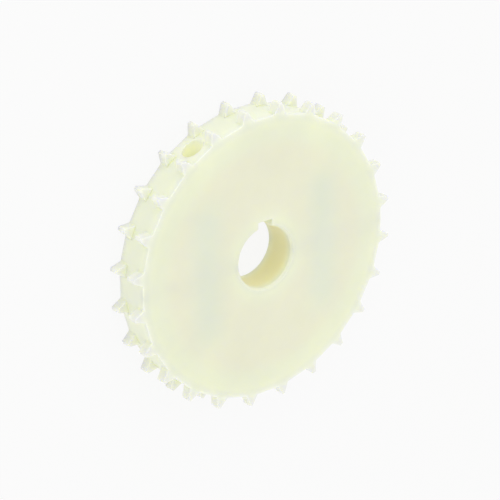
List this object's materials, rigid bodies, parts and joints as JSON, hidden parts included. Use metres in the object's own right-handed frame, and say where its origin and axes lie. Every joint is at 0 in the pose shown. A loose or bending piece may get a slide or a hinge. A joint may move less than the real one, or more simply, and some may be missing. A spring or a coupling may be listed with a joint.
{
  "type": "split sprocket",
  "caption": "Split plastic sprocket for modular belts: flat disc with two rows of small teeth round its rim, a keyed bore, and halves bolted together round the shaft.",
  "frame": {"origin": "On the bore axis, at mid width, which is also the centre of the disc.", "axes": "+Z runs along the bore out of the front face, +Y from the bore axis towards the middle of the keyway, +X to the right along the split line as seen from the front."},
  "size_m": [0.1462, 0.1462, 0.018],
  "materials": {
    "polyamide": "machined natural polyamide, a pale translucent ivory",
    "steel": "plain stainless steel fasteners"
  },
  "bodies": {
    "root": {"upper_half": "polyamide", "lower_half": "polyamide", "left_bolt": "steel", "left_bolt_washer": "steel", "left_nut_washer": "steel", "left_nut": "steel", "right_bolt": "steel", "right_bolt_washer": "steel", "right_nut_washer": "steel", "right_nut": "steel"}
  },
  "joints": []
}
